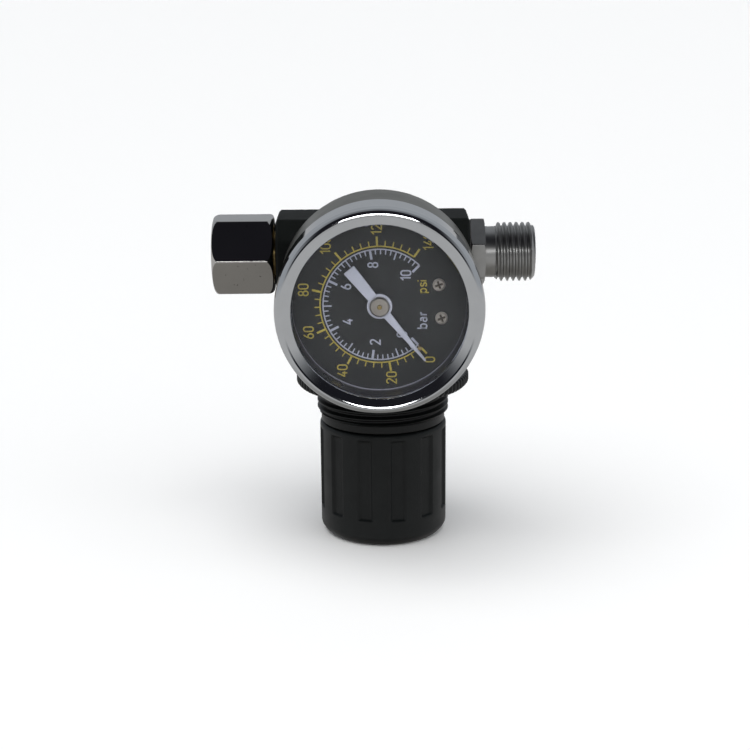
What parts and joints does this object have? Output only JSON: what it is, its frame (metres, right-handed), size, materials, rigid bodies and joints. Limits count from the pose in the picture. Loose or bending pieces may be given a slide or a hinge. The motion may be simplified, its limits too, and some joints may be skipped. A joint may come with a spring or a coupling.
{
  "type": "air pressure regulator",
  "caption": "Small compressed-air pressure regulator with a front dial gauge, a ribbed adjusting knob, a panel thread, an inlet swivel nut and an outlet nipple.",
  "frame": {"origin": "centre of the adjusting knob's flat end face, on the adjusting axis", "axes": "+Z from the knob up to the ports along the adjusting axis; +X from the inlet swivel nut to the outlet nipple; the gauge faces -Y"},
  "size_m": [0.0715, 0.0585, 0.0815],
  "materials": {
    "black_body": "semi-gloss black coating on a cast body",
    "black_bonnet": "black moulded, semi-gloss",
    "knob_plastic": "black moulded, satin",
    "chrome_plate": "bright plated brass",
    "nickel_plate": "bright nickel",
    "chrome_bezel": "bright rolled ring",
    "case_steel": "satin steel",
    "zinc_steel": "zinc-plated steel",
    "spring_steel": "drawn wire",
    "brass": "machined",
    "bronze_tube": "drawn tube",
    "seal_rubber": "nitrile",
    "seal_washer": "sealing washer",
    "black_gasket": "moulded sleeve",
    "lens_glass": "clear flat lens",
    "dial_paint": "charcoal printed dial",
    "pointer_paint": "pale painted aluminium"
  },
  "bodies": {
    "regulator": {"body": "black_body", "valve_plug": "zinc_steel", "valve_plug_seal": "seal_rubber", "valve_seat": "brass", "rear_plug": "zinc_steel", "rear_plug_washer": "seal_washer", "gauge_washer": "seal_washer", "inlet_tailpiece": "brass", "nut_retaining_ring": "spring_steel", "outlet_nipple": "nickel_plate", "outlet_washer": "seal_washer", "bonnet": "black_bonnet", "thrust_washer": "brass", "knob_friction_ring": "seal_rubber", "diaphragm": "seal_rubber", "gauge_case": "case_steel", "bezel": "chrome_bezel", "lens": "lens_glass", "lens_gasket": "black_gasket", "dial": "dial_paint", "dial_screws": "nickel_plate", "stop_pin": "brass", "front_plate": "brass", "back_plate": "brass", "movement_pillars": "brass", "movement_screws": "zinc_steel", "bourdon_tube": "bronze_tube", "tube_end": "brass", "gauge_socket": "brass", "case_screws": "zinc_steel"},
    "screw": {"adjusting_screw": "zinc_steel", "screw_clip": "spring_steel"},
    "knob": {"knob": "knob_plastic"},
    "spring_nut": {"adjusting_nut": "zinc_steel", "main_spring": "spring_steel"},
    "diaphragm_centre": {"diaphragm_plate": "zinc_steel", "relief_seat": "brass"},
    "valve": {"valve_poppet": "brass", "valve_pad": "seal_rubber", "valve_spring": "spring_steel"},
    "inlet_nut": {"swivel_nut": "chrome_plate"},
    "washer": {"panel_washer": "zinc_steel"},
    "panel_nut": {"ring_nut": "black_bonnet"},
    "pointer": {"pointer": "pointer_paint", "pointer_hub": "nickel_plate", "pinion": "brass", "hairspring": "bronze_tube"},
    "sector": {"sector_gear": "brass", "sector_arbor": "zinc_steel"},
    "link": {"link": "brass"}
  },
  "joints": [
    {"name": "knob_turn", "type": "hinge", "parent": "regulator", "child": "screw", "pos_m": [0, 0, 0.012], "axis": [0, 0, 1], "range_deg": [-540, 1080]},
    {"name": "knob_pull", "type": "slide", "parent": "screw", "child": "knob", "axis": [0, 0, -1], "range_m": [0, 0.003]},
    {"name": "spring_nut_climb", "type": "slide", "parent": "regulator", "child": "spring_nut", "axis": [0, 0, 1], "range_m": [-0.00188, 0.00376], "deforming": ["main_spring"]},
    {"name": "diaphragm_lift", "type": "slide", "parent": "regulator", "child": "diaphragm_centre", "axis": [0, 0, 1], "range_m": [0, 0.001], "stiffness_N_per_m": 300, "springref_m": -0.005, "deforming": ["diaphragm"]},
    {"name": "valve_lift", "type": "slide", "parent": "regulator", "child": "valve", "axis": [0, 0, 1], "range_m": [0, 0.001], "deforming": ["valve_spring"]},
    {"name": "swivel_nut_turn", "type": "hinge", "parent": "regulator", "child": "inlet_nut", "pos_m": [-0.031, 0, 0.065], "axis": [-1, 0, 0], "continuous": true},
    {"name": "washer_slide", "type": "slide", "parent": "regulator", "child": "washer", "axis": [0, 0, -1], "range_m": [0, 0.005]},
    {"name": "panel_nut_turn", "type": "hinge", "parent": "washer", "child": "panel_nut", "pos_m": [0, 0, 0.0365], "axis": [0, 0, -1], "range_deg": [0, 1200]},
    {"name": "pointer_turn", "type": "hinge", "parent": "regulator", "child": "pointer", "pos_m": [-0.00066, -0.03, 0.06], "axis": [0, 1, 0], "range_deg": [0, 265], "stiffness_Nm_per_rad": 0.00002, "springref_deg": -34.38},
    {"name": "sector_turn", "type": "hinge", "parent": "regulator", "child": "sector", "pos_m": [0.01034, -0.0266, 0.06], "axis": [0, 1, 0], "range_deg": [-30, 0]},
    {"name": "link_turn", "type": "hinge", "parent": "sector", "child": "link", "pos_m": [0.01163, -0.026, 0.06483], "axis": [0, 1, 0], "range_deg": [0, 30]}
  ],
  "couplings": [
    {"joint": "spring_nut_climb", "follows": "knob_turn", "m_per_rad": 0.00019894},
    {"joint": "valve_lift", "follows": "diaphragm_lift", "ratio": 1},
    {"joint": "washer_slide", "follows": "panel_nut_turn", "m_per_rad": 0.00023873},
    {"joint": "sector_turn", "follows": "pointer_turn", "ratio": -0.11111},
    {"joint": "link_turn", "follows": "pointer_turn", "ratio": 0.11111}
  ]
}
